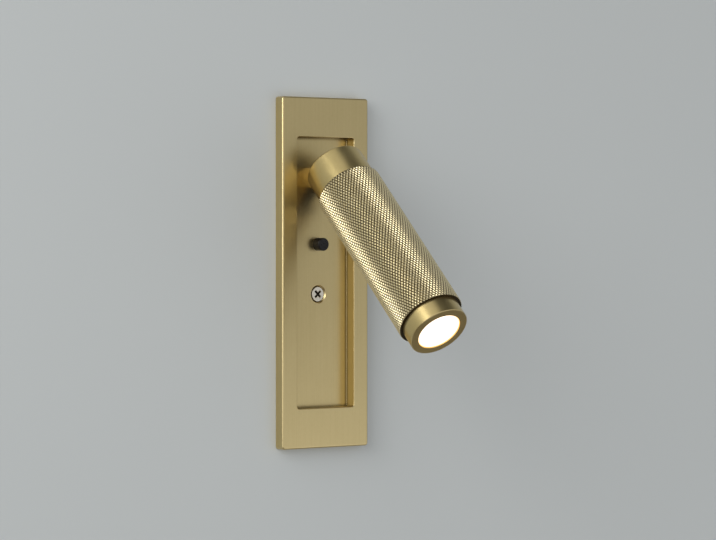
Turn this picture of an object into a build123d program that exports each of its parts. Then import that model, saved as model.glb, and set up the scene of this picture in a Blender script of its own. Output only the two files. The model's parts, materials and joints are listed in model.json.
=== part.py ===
"""Bedside wall reading lamp: a knurled head that folds down into a recessed wall plate.

Millimetres. X runs along the wall, +Y into the wall, +Z up. The origin lies on the wall
plane (y = 0), at the middle of the plate, so the lamp stands out towards -Y.
"""

import os
from math import cos, radians, sin

from build123d import *

os.makedirs("parts", exist_ok=True)

# ---------------------------------------------------------------- driving dimensions

# Front plate and the recess that the head folds into
plate_width = 55.0
plate_height = 180.0
plate_thickness = 6.0
plate_corner_radius = 1.5
plate_edge_radius = 1.0
recess_width = 36.5
recess_height = 139.0
recess_depth = 6.5
recess_corner_radius = 1.4
recess_floor_fillet = 0.3
recess_lip_radius = 0.4
floor_thickness = 2.0
pan_wall = 2.0
rim_wall = 2.0
relief_depth = 3.2
spine_width = 34.0
spine_thickness = 3.0

# Box in the wall behind the plate
sheet = 1.2
box_depth = 36.0
box_corner_radius = 3.0
box_clearance = 0.5
flange_margin = 1.7
wall_hole_spacing = 159.0
wall_hole_diameter = 4.5
seal_clearance = 0.2

# Screw in the recess floor, and the strap it pulls on
fixing_screw_z = -11.1
fixing_screw_length = 12.0
fixing_head_diameter = 8.3
fixing_shank_diameter = 4.0
fixing_hole_diameter = 4.4
countersink_diameter = 9.6
cross_length = 4.7
cross_width = 1.1
cross_depth = 1.6
bridge_height = 14.0
bridge_arm = 10.5
bridge_sheet = 1.5
bridge_nut_diameter = 7.0
bridge_nut_height = 4.5
bridge_nut_flange_diameter = 10.0
bridge_nut_flange_thickness = 1.2
thread_clearance = 0.02

# Switch plunger in the recess floor, and the switch behind it
plunger_z = 14.6
plunger_diameter = 6.7
plunger_height = 4.8
plunger_tip_radius = 0.5
plunger_travel = 3.5
plunger_clearance = 0.08
collar_stop_diameter = 10.0
collar_stop_thickness = 1.0
stem_diameter = 3.2
switch_width = 16.0
switch_height = 18.0
switch_depth = 16.5
switch_front_wall = 1.2
switch_cavity_diameter = 10.8
switch_ear_height = 30.0
switch_ear_thickness = 2.5
switch_screw_spacing = 24.0
switch_back_thickness = 2.0
contact_thickness = 0.6
contact_width = 3.0
contact_reach = 2.1
contact_tail = 3.0
bridge_disc_diameter = 8.8
bridge_disc_thickness = 0.6
spring_radius = 2.6
spring_wire_diameter = 0.5
spring_turns = 5

# Head: collar, knurled sleeve and bezel on one axis
sleeve_diameter = 34.3
sleeve_length = 92.3
sleeve_wall = 3.05
sleeve_shoulder_radius = 1.4
sleeve_rim_chamfer = 0.3
collar_diameter = 31.2
collar_length = 16.4
collar_wall = 2.6
collar_edge_radius = 0.8
spigot_length = 8.0
spigot_clearance = 0.05
bezel_diameter = 30.8
bezel_length = 8.9
bezel_lip = 1.1
bezel_edge_chamfer = 0.3
bezel_wall = 1.5

# Tilt hinge, hidden inside the collar
tilt_at_rest = 45.8
stowed_gap = 0.4
pivot_z = 45.9
pivot_inset = 11.6
eye_radius = 3.8
tongue_width = 8.0
tongue_rise = 3.2
tongue_foot_height = 9.8
tongue_neck = 2.0
tongue_slot_clearance = 0.15
collar_slot_clearance = 0.5
bracket_width = 30.0
bracket_height = 22.0
bracket_thickness = 3.0
bracket_screw_spacing = 22.0
bracket_screw_bite = 3.0
lead_bore_diameter = 3.0
bolt_diameter = 3.0
bolt_head_diameter = 5.4
bolt_head_thickness = 1.8
bolt_clearance = 0.05
nut_across_flats = 5.5
nut_thickness = 2.2
washer_diameter = 7.4
washer_thickness = 0.9
washer_clearance = 0.05
yoke_end_gap = 0.2
yoke_nose = 8.0
yoke_lead_bore = 8.0

# Light engine inside the sleeve
heat_sink_length = 22.0
heat_sink_core_diameter = 16.0
heat_sink_face = 3.0
fin_count = 14
fin_gap = 2.4
fin_gap_overrun = 0.5
board_diameter = 22.0
board_thickness = 1.6
emitter_width = 6.0
emitter_thickness = 0.8
board_screw_spacing = 17.4
lens_aperture_diameter = 22.8
lens_recess = 0.4
lens_flange_thickness = 1.9
lens_clearance = 0.05
seal_thickness = 0.8
reflector_wall = 1.0
reflector_throat_diameter = 9.2

# Supply inside the box
driver_width = 30.0
driver_height = 44.0
driver_depth = 19.0
driver_wall = 1.5
driver_foot_gap = 8.0
driver_ear = 6.5
driver_lid_thickness = 1.5
driver_board_thickness = 1.6
driver_board_stand = 4.0
transformer_width = 14.0
transformer_depth = 9.0
transformer_height = 15.0
transformer_corner = 1.4
capacitor_diameter = 8.0
capacitor_length = 10.5
terminal_z = 38.0
terminal_width = 26.0
terminal_height = 14.0
terminal_depth = 12.0
pole_count = 3
pole_pitch = 8.0
insert_diameter = 5.0
wire_hole_diameter = 3.0
clamp_screw_diameter = 2.6
clamp_screw_spacing = 7.0
grommet_margin = 12.0
grommet_hole_diameter = 14.0
grommet_flange_diameter = 18.0
grommet_flange_thickness = 2.0
cable_bore_diameter = 8.0
earth_screw_margin = 6.25
earth_screw_diameter = 4.0

# Small pan-head screws
small_screw_diameter = 2.0
small_head_ratio = 1.9
small_head_height = 1.8
small_slot_width = 0.7
small_slot_depth = 0.8

# ---------------------------------------------------------------- worked-out places

floor_y = recess_depth - plate_thickness
pan_back_y = floor_y + floor_thickness
spine_back_y = pan_back_y + spine_thickness
spine_top_z = pivot_z + tongue_rise + bracket_height / 2
spine_bottom_z = fixing_screw_z - bridge_height / 2

pan_width = recess_width + 2 * pan_wall
pan_height = recess_height + 2 * pan_wall
relief_width = plate_width - 2 * rim_wall
relief_height = plate_height - 2 * rim_wall

box_inner_width = pan_width + 2 * box_clearance
box_inner_height = pan_height + 2 * box_clearance
box_floor_y = box_depth - sheet
grommet_z = box_inner_height / 2 - grommet_margin
earth_screw_x = box_inner_width / 2 - earth_screw_margin
flange_width = relief_width - 2 * flange_margin
flange_height = relief_height - 2 * flange_margin

plunger_tip_y = floor_y - plunger_height
pivot_y = plunger_tip_y - stowed_gap - sleeve_diameter / 2
foot_z = pivot_z + tongue_rise
neck_y = floor_y - tongue_neck

head_axis = (0, -sin(radians(tilt_at_rest)), -cos(radians(tilt_at_rest)))
sleeve_start = collar_length - pivot_inset
sleeve_end = sleeve_start + sleeve_length
bezel_end = sleeve_end + bezel_length
sleeve_bore_radius = sleeve_diameter / 2 - sleeve_wall
spigot_radius = sleeve_bore_radius - spigot_clearance
collar_bore_radius = collar_diameter / 2 - collar_wall
collar_floor = collar_wall - pivot_inset
washer_slot = tongue_width / 2 + washer_thickness + 2 * washer_clearance


def room_plane(y):
    """A plane parallel to the wall at depth y. It faces the room; its x is X, its y is Z."""
    return Plane(origin=(0, y, 0), x_dir=(1, 0, 0), z_dir=(0, -1, 0))


def wall_plane(y):
    """A plane parallel to the wall at depth y. It faces into the wall; its y is Z."""
    return Plane(origin=(0, y, 0), x_dir=(-1, 0, 0), z_dir=(0, 1, 0))


def head_plane(along):
    """A plane square to the head's axis, this far from the pivot towards the lens."""
    pivot = Plane(origin=(0, pivot_y, pivot_z), x_dir=(1, 0, 0), z_dir=head_axis)
    return pivot.offset(along)


def pan_head_screws(plane, places, diameter, length):
    """A group of slotted pan-head screws: heads on the plane's face side, shanks behind it."""
    head_radius = diameter * small_head_ratio / 2
    with BuildPart() as screws:
        with BuildSketch(plane):
            with Locations(*places):
                Circle(diameter / 2)
        extrude(amount=-length)
        with BuildSketch(plane):
            with Locations(*places):
                Circle(head_radius)
        extrude(amount=small_head_height)
        with BuildSketch(plane.offset(small_head_height)):
            with Locations(*places):
                Rectangle(2 * head_radius, small_slot_width)
        extrude(amount=-small_slot_depth, mode=Mode.SUBTRACT)
    return screws


# ---------------------------------------------------------------- wall side: plate and box

# The plate is a shallow tray: a thick rim on the wall, and a pan that sinks into it.
with BuildPart() as front_plate:
    with BuildSketch(room_plane(0)):
        RectangleRounded(plate_width, plate_height, plate_corner_radius)
    extrude(amount=plate_thickness)
    fillet(front_plate.faces().sort_by(Axis.Y)[0].edges(), plate_edge_radius)
    with BuildSketch(room_plane(0)):
        RectangleRounded(relief_width, relief_height, plate_corner_radius)
    extrude(amount=relief_depth, mode=Mode.SUBTRACT)
    # The pan's walls and floor
    with BuildSketch(room_plane(pan_back_y)):
        RectangleRounded(pan_width, pan_height, recess_corner_radius + pan_wall)
    extrude(amount=pan_back_y + (plate_thickness + relief_depth) / 2)
    # A thicker spine behind the floor takes the hinge, the switch and the fixing screw
    with BuildSketch(room_plane(spine_back_y)):
        with Locations((0, (spine_top_z + spine_bottom_z) / 2)):
            Rectangle(spine_width, spine_top_z - spine_bottom_z)
    extrude(amount=spine_thickness + floor_thickness / 2)
    # The recess itself, with a soft line round its floor and a broken edge round its mouth
    with BuildSketch(room_plane(floor_y)):
        RectangleRounded(recess_width, recess_height, recess_corner_radius)
    extrude(amount=recess_depth, mode=Mode.SUBTRACT)
    recess_floor = front_plate.faces().filter_by_position(Axis.Y, floor_y - 0.01, floor_y + 0.01)
    fillet(recess_floor[0].edges(), recess_floor_fillet)
    front_face = front_plate.faces().sort_by(Axis.Y)[0]
    fillet(front_face.inner_wires()[0].edges(), recess_lip_radius)
    # Holes through the floor: hinge tongue, plunger and fixing screw
    with BuildSketch(room_plane(floor_y)):
        with Locations((0, foot_z)):
            Rectangle(
                tongue_width + 2 * tongue_slot_clearance,
                tongue_foot_height + 2 * tongue_slot_clearance,
            )
        with Locations((0, plunger_z)):
            Circle(plunger_diameter / 2 + plunger_clearance)
    extrude(amount=floor_y - spine_back_y, mode=Mode.SUBTRACT)
    with Locations(room_plane(floor_y)):
        with Locations((0, fixing_screw_z)):
            CounterSinkHole(fixing_hole_diameter / 2, countersink_diameter / 2)
    # Blind threaded holes in the spine for the hinge bracket and the switch
    with BuildSketch(wall_plane(spine_back_y)):
        with Locations((0, foot_z)):
            with GridLocations(bracket_screw_spacing, 0, 2, 1):
                Circle(bolt_diameter / 2 + thread_clearance)
        with Locations((0, plunger_z)):
            with GridLocations(0, switch_screw_spacing, 1, 2):
                Circle(bolt_diameter / 2 + thread_clearance)
    extrude(amount=-bracket_screw_bite - thread_clearance, mode=Mode.SUBTRACT)
front_plate.part.label = "front_plate"

# Pressed steel box in the wall, with a flange that lies on the wall round its mouth
with BuildPart() as back_box:
    with BuildSketch(room_plane(0)):
        RectangleRounded(flange_width, flange_height, plate_corner_radius)
    extrude(amount=sheet)
    with BuildSketch(room_plane(box_depth)):
        RectangleRounded(
            box_inner_width + 2 * sheet, box_inner_height + 2 * sheet, box_corner_radius + sheet
        )
    extrude(amount=box_depth)
    with BuildSketch(room_plane(box_floor_y)):
        RectangleRounded(box_inner_width, box_inner_height, box_corner_radius)
    extrude(amount=box_depth, mode=Mode.SUBTRACT)
    # Wall screw holes in the flange
    with BuildSketch(room_plane(0)):
        with GridLocations(0, wall_hole_spacing, 1, 2):
            Circle(wall_hole_diameter / 2)
    extrude(amount=sheet, mode=Mode.SUBTRACT)
    # Holes in the box's back: cable grommet, earth screw, driver and terminal block
    driver_z = -box_inner_height / 2 + driver_foot_gap + driver_height / 2
    driver_screw_z = driver_height / 2 + driver_ear / 2
    with BuildSketch(room_plane(box_floor_y)):
        with Locations((0, grommet_z)):
            Circle(grommet_hole_diameter / 2)
        with Locations((earth_screw_x, grommet_z)):
            Circle(earth_screw_diameter / 2 + thread_clearance)
        with Locations((0, driver_z)):
            with GridLocations(0, 2 * driver_screw_z, 1, 2):
                Circle(bolt_diameter / 2 + thread_clearance)
        with Locations((0, terminal_z)):
            with GridLocations(pole_pitch, 0, pole_count - 1, 1):
                Circle(small_screw_diameter / 2 + thread_clearance)
    extrude(amount=-sheet, mode=Mode.SUBTRACT)
back_box.part.label = "back_box"

# Foam seal between the flange and the plate's rim
with BuildPart() as wall_seal:
    with BuildSketch(room_plane(0)):
        RectangleRounded(relief_width, relief_height, plate_corner_radius)
        Rectangle(
            flange_width + 2 * seal_clearance,
            flange_height + 2 * seal_clearance,
            mode=Mode.SUBTRACT,
        )
    extrude(amount=relief_depth)
wall_seal.part.label = "wall_seal"

# Strap across the box, with a hole for the nut of the fixing screw
with BuildPart() as box_bridge:
    with BuildSketch(Plane.XY.offset(fixing_screw_z - bridge_height / 2)):
        with Locations((0, spine_back_y + bridge_arm / 2)):
            Rectangle(box_inner_width, bridge_arm)
        with Locations((0, spine_back_y + bridge_arm / 2 + bridge_sheet)):
            Rectangle(box_inner_width - 2 * bridge_sheet, bridge_arm, mode=Mode.SUBTRACT)
    extrude(amount=bridge_height)
    with BuildSketch(wall_plane(spine_back_y)):
        with Locations((0, fixing_screw_z)):
            Circle(bridge_nut_diameter / 2 + thread_clearance)
    extrude(amount=bridge_sheet, mode=Mode.SUBTRACT)
box_bridge.part.label = "box_bridge"

# Flanged nut pressed into the strap from behind; the fixing screw pulls on it
with BuildPart() as bridge_nut:
    with BuildSketch(wall_plane(spine_back_y)):
        with Locations((0, fixing_screw_z)):
            Circle(bridge_nut_diameter / 2)
    extrude(amount=bridge_sheet + bridge_nut_height)
    with BuildSketch(wall_plane(spine_back_y + bridge_sheet)):
        with Locations((0, fixing_screw_z)):
            Circle(bridge_nut_flange_diameter / 2)
    extrude(amount=bridge_nut_flange_thickness)
    with BuildSketch(wall_plane(spine_back_y)):
        with Locations((0, fixing_screw_z)):
            Circle(fixing_shank_diameter / 2 + thread_clearance)
    extrude(amount=bridge_sheet + bridge_nut_height, mode=Mode.SUBTRACT)
bridge_nut.part.label = "bridge_nut"

# Countersunk cross-head screw, sunk a little below the recess floor
with BuildPart() as fixing_screw:
    head_top_y = floor_y + (countersink_diameter - fixing_head_diameter) / 2
    cone_end_y = head_top_y + (fixing_head_diameter - fixing_shank_diameter) / 2
    screw_tip_y = head_top_y + fixing_screw_length
    with BuildSketch(Plane.XY.offset(fixing_screw_z)):
        Polygon(
            (0, head_top_y),
            (fixing_head_diameter / 2, head_top_y),
            (fixing_shank_diameter / 2, cone_end_y),
            (fixing_shank_diameter / 2, screw_tip_y),
            (0, screw_tip_y),
            align=None,
        )
    revolve(axis=Axis((0, 0, fixing_screw_z), (0, 1, 0)))
    with BuildSketch(room_plane(head_top_y)):
        with Locations((0, fixing_screw_z)):
            Rectangle(cross_length, cross_width, rotation=45)
            Rectangle(cross_length, cross_width, rotation=-45)
    extrude(amount=-cross_depth, mode=Mode.SUBTRACT)
fixing_screw.part.label = "fixing_screw"

# ---------------------------------------------------------------- wall side: hinge bracket

# A base behind the spine, and a tongue that reaches through the floor to the pivot
with BuildPart() as hinge_bracket:
    with BuildSketch(wall_plane(spine_back_y)):
        with Locations((0, foot_z)):
            Rectangle(bracket_width, bracket_height)
    extrude(amount=bracket_thickness)
    with BuildSketch(Plane.YZ.offset(-tongue_width / 2)):
        with Locations((pivot_y, pivot_z)):
            Circle(eye_radius)
        with Locations((neck_y, foot_z)):
            Rectangle(tongue_neck, tongue_foot_height)
        make_hull()
        with Locations(((neck_y + spine_back_y + bracket_thickness) / 2, foot_z)):
            Rectangle(spine_back_y + bracket_thickness - neck_y, tongue_foot_height)
    extrude(amount=tongue_width)
    with BuildSketch(Plane.YZ.offset(-tongue_width / 2)):
        with Locations((pivot_y, pivot_z)):
            Circle(bolt_diameter / 2 + bolt_clearance)
    extrude(amount=tongue_width, mode=Mode.SUBTRACT)
    # The bore that brings the leads through, turning up out of the tongue by the pivot
    lead_exit_y = pivot_y + eye_radius + lead_bore_diameter
    with BuildSketch(wall_plane(spine_back_y + bracket_thickness)):
        with Locations((0, foot_z)):
            Circle(lead_bore_diameter / 2)
    extrude(amount=lead_exit_y - spine_back_y - bracket_thickness, mode=Mode.SUBTRACT)
    with BuildSketch(Plane.XY.offset(foot_z)):
        with Locations((0, lead_exit_y)):
            Circle(lead_bore_diameter / 2)
    extrude(amount=tongue_foot_height, mode=Mode.SUBTRACT)
    with BuildSketch(wall_plane(spine_back_y)):
        with Locations((0, foot_z)):
            with GridLocations(bracket_screw_spacing, 0, 2, 1):
                Circle(bolt_diameter / 2 + thread_clearance)
    extrude(amount=bracket_thickness, mode=Mode.SUBTRACT)
hinge_bracket.part.label = "hinge_bracket"

hinge_bracket_screws = pan_head_screws(
    wall_plane(spine_back_y + bracket_thickness),
    [(-bracket_screw_spacing / 2, foot_z), (bracket_screw_spacing / 2, foot_z)],
    bolt_diameter,
    bracket_thickness + bracket_screw_bite,
)
hinge_bracket_screws.part.label = "hinge_bracket_screws"

# ---------------------------------------------------------------- switch

switch_end_y = spine_back_y + switch_depth
stop_y = spine_back_y + switch_front_wall
contact_y = stop_y + collar_stop_thickness + plunger_travel + 3 * plunger_clearance
disc_y = contact_y + contact_thickness + plunger_clearance

with BuildPart() as switch_body:
    with BuildSketch(wall_plane(spine_back_y)):
        with Locations((0, plunger_z)):
            Rectangle(switch_width, switch_ear_height)
    extrude(amount=switch_ear_thickness)
    with BuildSketch(wall_plane(spine_back_y)):
        with Locations((0, plunger_z)):
            Rectangle(switch_width, switch_height)
    extrude(amount=switch_depth)
    with BuildSketch(wall_plane(stop_y)):
        with Locations((0, plunger_z)):
            Circle(switch_cavity_diameter / 2)
    extrude(amount=switch_end_y - stop_y, mode=Mode.SUBTRACT)
    with BuildSketch(wall_plane(spine_back_y)):
        with Locations((0, plunger_z)):
            Circle(plunger_diameter / 2 + plunger_clearance)
            with GridLocations(0, switch_screw_spacing, 1, 2):
                Circle(bolt_diameter / 2 + thread_clearance)
    extrude(amount=switch_ear_thickness, mode=Mode.SUBTRACT)
switch_body.part.label = "switch_body"

with BuildPart() as switch_back:
    with BuildSketch(wall_plane(switch_end_y)):
        with Locations((0, plunger_z)):
            Rectangle(switch_width, switch_height)
            Circle(stem_diameter / 2 + plunger_clearance, mode=Mode.SUBTRACT)
            with GridLocations(switch_cavity_diameter - contact_thickness, 0, 2, 1):
                Rectangle(contact_thickness, contact_width, mode=Mode.SUBTRACT)
    extrude(amount=switch_back_thickness)
switch_back.part.label = "switch_back"

switch_screws = pan_head_screws(
    wall_plane(spine_back_y + switch_ear_thickness),
    [(0, plunger_z - switch_screw_spacing / 2), (0, plunger_z + switch_screw_spacing / 2)],
    bolt_diameter,
    switch_ear_thickness + bracket_screw_bite,
)
switch_screws.part.label = "switch_screws"

# Two fixed contacts: a pad in front of the moving disc, and a tail out through the back
with BuildPart() as switch_contacts:
    with BuildSketch(wall_plane(contact_y)):
        with Locations((0, plunger_z)):
            with GridLocations(switch_cavity_diameter - contact_reach, 0, 2, 1):
                Rectangle(contact_reach, contact_width)
    extrude(amount=contact_thickness)
    with BuildSketch(wall_plane(contact_y)):
        with Locations((0, plunger_z)):
            with GridLocations(switch_cavity_diameter - contact_thickness, 0, 2, 1):
                Rectangle(contact_thickness, contact_width)
    extrude(amount=switch_end_y + switch_back_thickness + contact_tail - contact_y)
    # The cavity is round, so the outer corners follow its wall
    with BuildSketch(wall_plane(contact_y)):
        with Locations((0, plunger_z)):
            Circle(switch_cavity_diameter / 2)
    extrude(amount=switch_end_y + switch_back_thickness + contact_tail, mode=Mode.INTERSECT)
switch_contacts.part.label = "switch_contacts"

with BuildPart() as switch_plunger:
    stem_end_y = switch_end_y + switch_back_thickness / 2 - plunger_travel / 2
    with BuildSketch(wall_plane(plunger_tip_y)):
        with Locations((0, plunger_z)):
            Circle(plunger_diameter / 2)
    extrude(amount=stop_y + plunger_clearance - plunger_tip_y)
    fillet(switch_plunger.faces().sort_by(Axis.Y)[0].edges(), plunger_tip_radius)
    with BuildSketch(wall_plane(stop_y + plunger_clearance)):
        with Locations((0, plunger_z)):
            Circle(collar_stop_diameter / 2)
    extrude(amount=collar_stop_thickness)
    with BuildSketch(wall_plane(stop_y)):
        with Locations((0, plunger_z)):
            Circle(stem_diameter / 2)
    extrude(amount=stem_end_y - stop_y)
switch_plunger.part.label = "switch_plunger"

with BuildPart() as contact_bridge:
    with BuildSketch(wall_plane(disc_y)):
        with Locations((0, plunger_z)):
            Circle(bridge_disc_diameter / 2)
            Circle(stem_diameter / 2 + thread_clearance, mode=Mode.SUBTRACT)
    extrude(amount=bridge_disc_thickness)
contact_bridge.part.label = "contact_bridge"

with BuildPart() as switch_spring:
    spring_start_y = disc_y + bridge_disc_thickness + spring_wire_diameter / 2 + plunger_clearance
    spring_end_y = switch_end_y - spring_wire_diameter / 2 - plunger_clearance
    spring_length = spring_end_y - spring_start_y
    with BuildLine():
        spring_path = Helix(
            pitch=spring_length / spring_turns,
            height=spring_length,
            radius=spring_radius,
            center=(0, spring_start_y, plunger_z),
            direction=(0, 1, 0),
        )
    with BuildSketch(Plane(origin=spring_path @ 0, z_dir=spring_path % 0)):
        Circle(spring_wire_diameter / 2)
    sweep(is_frenet=True)
switch_spring.part.label = "switch_spring"

# ---------------------------------------------------------------- supply in the box

with BuildPart() as driver_case:
    with BuildSketch(room_plane(box_floor_y)):
        with Locations((0, driver_z)):
            Rectangle(driver_width, driver_height)
    extrude(amount=driver_depth)
    with BuildSketch(room_plane(box_floor_y - driver_wall)):
        with Locations((0, driver_z)):
            Rectangle(driver_width - 2 * driver_wall, driver_height - 2 * driver_wall)
    extrude(amount=driver_depth, mode=Mode.SUBTRACT)
    with BuildSketch(room_plane(box_floor_y)):
        with Locations((0, driver_z)):
            with GridLocations(0, 2 * driver_screw_z, 1, 2):
                Rectangle(2 * driver_ear, driver_ear)
                Circle(bolt_diameter / 2 + thread_clearance, mode=Mode.SUBTRACT)
    extrude(amount=driver_wall)
driver_case.part.label = "driver_case"

driver_lid_y = box_floor_y - driver_depth
with BuildPart() as driver_lid:
    with BuildSketch(room_plane(driver_lid_y)):
        with Locations((0, driver_z)):
            RectangleRounded(driver_width, driver_height, driver_wall)
    extrude(amount=driver_lid_thickness)
driver_lid.part.label = "driver_lid"

driver_board_y = box_floor_y - driver_wall - driver_board_stand
with BuildPart() as driver_board:
    with BuildSketch(room_plane(driver_board_y)):
        with Locations((0, driver_z)):
            Rectangle(driver_width - 2 * driver_wall, driver_height - 2 * driver_wall)
    extrude(amount=driver_board_thickness)
driver_board.part.label = "driver_board"

parts_y = driver_board_y - driver_board_thickness
transformer_z = driver_z - driver_height / 2 + driver_wall + transformer_height
with BuildPart() as driver_transformer:
    with BuildSketch(room_plane(parts_y)):
        with Locations((0, transformer_z)):
            Rectangle(transformer_width, transformer_height)
    extrude(amount=transformer_depth)
    chamfer(driver_transformer.edges().filter_by(Axis.Y), transformer_corner)
driver_transformer.part.label = "driver_transformer"

with BuildPart() as driver_capacitor:
    with BuildSketch(room_plane(parts_y)):
        with Locations((0, transformer_z + transformer_height / 2 + capacitor_diameter)):
            Circle(capacitor_diameter / 2)
    extrude(amount=capacitor_length)
driver_capacitor.part.label = "driver_capacitor"

driver_screws = pan_head_screws(
    room_plane(box_floor_y - driver_wall),
    [(0, driver_z - driver_screw_z), (0, driver_z + driver_screw_z)],
    bolt_diameter,
    driver_wall + sheet,
)
driver_screws.part.label = "driver_screws"

# Terminal block: three brass inserts, each with a wire hole and two clamp screws
terminal_face_y = box_floor_y - terminal_depth
insert_y = box_floor_y - terminal_depth / 2
with BuildPart() as terminal_block:
    with BuildSketch(room_plane(box_floor_y)):
        with Locations((0, terminal_z)):
            Rectangle(terminal_width, terminal_height)
    extrude(amount=terminal_depth)
    with BuildSketch(Plane.XY.offset(terminal_z - terminal_height / 2)):
        with Locations((0, insert_y)):
            with GridLocations(pole_pitch, 0, pole_count, 1):
                Circle(insert_diameter / 2)
    extrude(amount=terminal_height, mode=Mode.SUBTRACT)
    with BuildSketch(room_plane(terminal_face_y)):
        with Locations((0, terminal_z)):
            with GridLocations(pole_pitch, clamp_screw_spacing, pole_count, 2):
                Circle(clamp_screw_diameter / 2 + thread_clearance)
    extrude(amount=-terminal_depth / 2, mode=Mode.SUBTRACT)
    with BuildSketch(room_plane(terminal_face_y)):
        with Locations((0, terminal_z)):
            with GridLocations(pole_pitch, 0, pole_count - 1, 1):
                Circle(small_screw_diameter / 2 + thread_clearance)
    extrude(amount=-terminal_depth, mode=Mode.SUBTRACT)
terminal_block.part.label = "terminal_block"

# The block's own two screws stand between its poles
block_screws = pan_head_screws(
    room_plane(terminal_face_y),
    [(-pole_pitch / 2, terminal_z), (pole_pitch / 2, terminal_z)],
    small_screw_diameter,
    terminal_depth + sheet,
)
block_screws.part.label = "block_screws"

with BuildPart() as terminal_inserts:
    with BuildSketch(Plane.XY.offset(terminal_z - terminal_height / 2)):
        with Locations((0, insert_y)):
            with GridLocations(pole_pitch, 0, pole_count, 1):
                Circle(insert_diameter / 2)
                Circle(wire_hole_diameter / 2, mode=Mode.SUBTRACT)
    extrude(amount=terminal_height)
    with BuildSketch(room_plane(terminal_face_y)):
        with Locations((0, terminal_z)):
            with GridLocations(pole_pitch, clamp_screw_spacing, pole_count, 2):
                Circle(clamp_screw_diameter / 2 + thread_clearance)
    extrude(amount=-terminal_depth / 2, mode=Mode.SUBTRACT)
terminal_inserts.part.label = "terminal_inserts"

with BuildPart() as terminal_screws:
    with BuildSketch(room_plane(insert_y - wire_hole_diameter / 2)):
        with Locations((0, terminal_z)):
            with GridLocations(pole_pitch, clamp_screw_spacing, pole_count, 2):
                Circle(clamp_screw_diameter / 2)
    extrude(amount=terminal_depth / 2 - wire_hole_diameter / 2 - small_head_height)
    with BuildSketch(room_plane(terminal_face_y + small_head_height)):
        with Locations((0, terminal_z)):
            with GridLocations(pole_pitch, clamp_screw_spacing, pole_count, 2):
                Rectangle(clamp_screw_diameter, small_slot_width)
    extrude(amount=-small_slot_depth, mode=Mode.SUBTRACT)
terminal_screws.part.label = "terminal_screws"

# Rubber grommet where the supply cable enters the box's back
with BuildPart() as cable_grommet:
    with BuildSketch(room_plane(box_depth + grommet_flange_thickness)):
        with Locations((0, grommet_z)):
            Circle(grommet_flange_diameter / 2)
    extrude(amount=sheet + 2 * grommet_flange_thickness)
    with BuildSketch(room_plane(box_depth)):
        with Locations((0, grommet_z)):
            Circle(grommet_flange_diameter / 2)
            Circle(grommet_hole_diameter / 2, mode=Mode.SUBTRACT)
    extrude(amount=sheet, mode=Mode.SUBTRACT)
    with BuildSketch(room_plane(box_depth + grommet_flange_thickness)):
        with Locations((0, grommet_z)):
            Circle(cable_bore_diameter / 2)
    extrude(amount=sheet + 2 * grommet_flange_thickness, mode=Mode.SUBTRACT)
cable_grommet.part.label = "cable_grommet"

earth_screw = pan_head_screws(
    room_plane(box_floor_y), [(earth_screw_x, grommet_z)], earth_screw_diameter, sheet
)
earth_screw.part.label = "earth_screw"

# ---------------------------------------------------------------- head: shells

# Collar: a cup with its floor at the top, slotted on the wall side for the tongue
with BuildPart() as collar:
    with BuildSketch(head_plane(-pivot_inset)):
        Circle(collar_diameter / 2)
    extrude(amount=collar_length)
    fillet(collar.faces().sort_by(Axis.Z)[-1].edges(), collar_edge_radius)
    with BuildSketch(head_plane(sleeve_start)):
        Circle(spigot_radius)
    extrude(amount=spigot_length)
    with BuildSketch(head_plane(collar_floor)):
        Circle(collar_bore_radius)
    extrude(amount=sleeve_start + spigot_length - collar_floor, mode=Mode.SUBTRACT)
    # The tongue tapers towards its eye; the slot clears it where it leaves the straight-out head
    taper = (tongue_rise + tongue_foot_height / 2 - eye_radius) / (neck_y - tongue_neck / 2 - pivot_y)
    slot_top = eye_radius + taper * pivot_inset + collar_slot_clearance
    with BuildSketch(head_plane(-pivot_inset)):
        with Locations((0, (slot_top - collar_diameter / 2) / 2)):
            Rectangle(
                tongue_width + 2 * collar_slot_clearance, collar_diameter / 2 + slot_top
            )
    extrude(amount=pivot_inset + eye_radius + collar_slot_clearance, mode=Mode.SUBTRACT)
collar.part.label = "collar"

# Sleeve: the knurled barrel, plain here at the height of the knurl's crests
with BuildPart() as knurled_sleeve:
    with BuildSketch(head_plane(sleeve_start)):
        Circle(sleeve_diameter / 2)
        Circle(sleeve_bore_radius, mode=Mode.SUBTRACT)
    extrude(amount=sleeve_length)
    sleeve_ends = knurled_sleeve.faces().filter_by(GeomType.PLANE).sort_by(Axis.Z)
    fillet(sleeve_ends[-1].outer_wire().edges(), sleeve_shoulder_radius)
    chamfer(sleeve_ends[0].outer_wire().edges(), sleeve_rim_chamfer)
knurled_sleeve.part.label = "knurled_sleeve"

# Bezel: a plain ring screwed into the sleeve, with a lip that holds the lens
bezel_bore_radius = spigot_radius - bezel_wall
with BuildPart() as bezel:
    with BuildSketch(head_plane(sleeve_end)):
        Circle(bezel_diameter / 2)
    extrude(amount=bezel_length)
    chamfer(bezel.faces().sort_by(Axis.Z)[0].edges(), bezel_edge_chamfer)
    with BuildSketch(head_plane(sleeve_end - spigot_length)):
        Circle(spigot_radius)
    extrude(amount=spigot_length)
    with BuildSketch(head_plane(sleeve_end - spigot_length)):
        Circle(bezel_bore_radius)
    extrude(amount=spigot_length + bezel_length - bezel_lip, mode=Mode.SUBTRACT)
    with BuildSketch(head_plane(bezel_end)):
        Circle(lens_aperture_diameter / 2)
    extrude(amount=-bezel_lip, mode=Mode.SUBTRACT)
bezel.part.label = "bezel"

# ---------------------------------------------------------------- head: hinge

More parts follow.
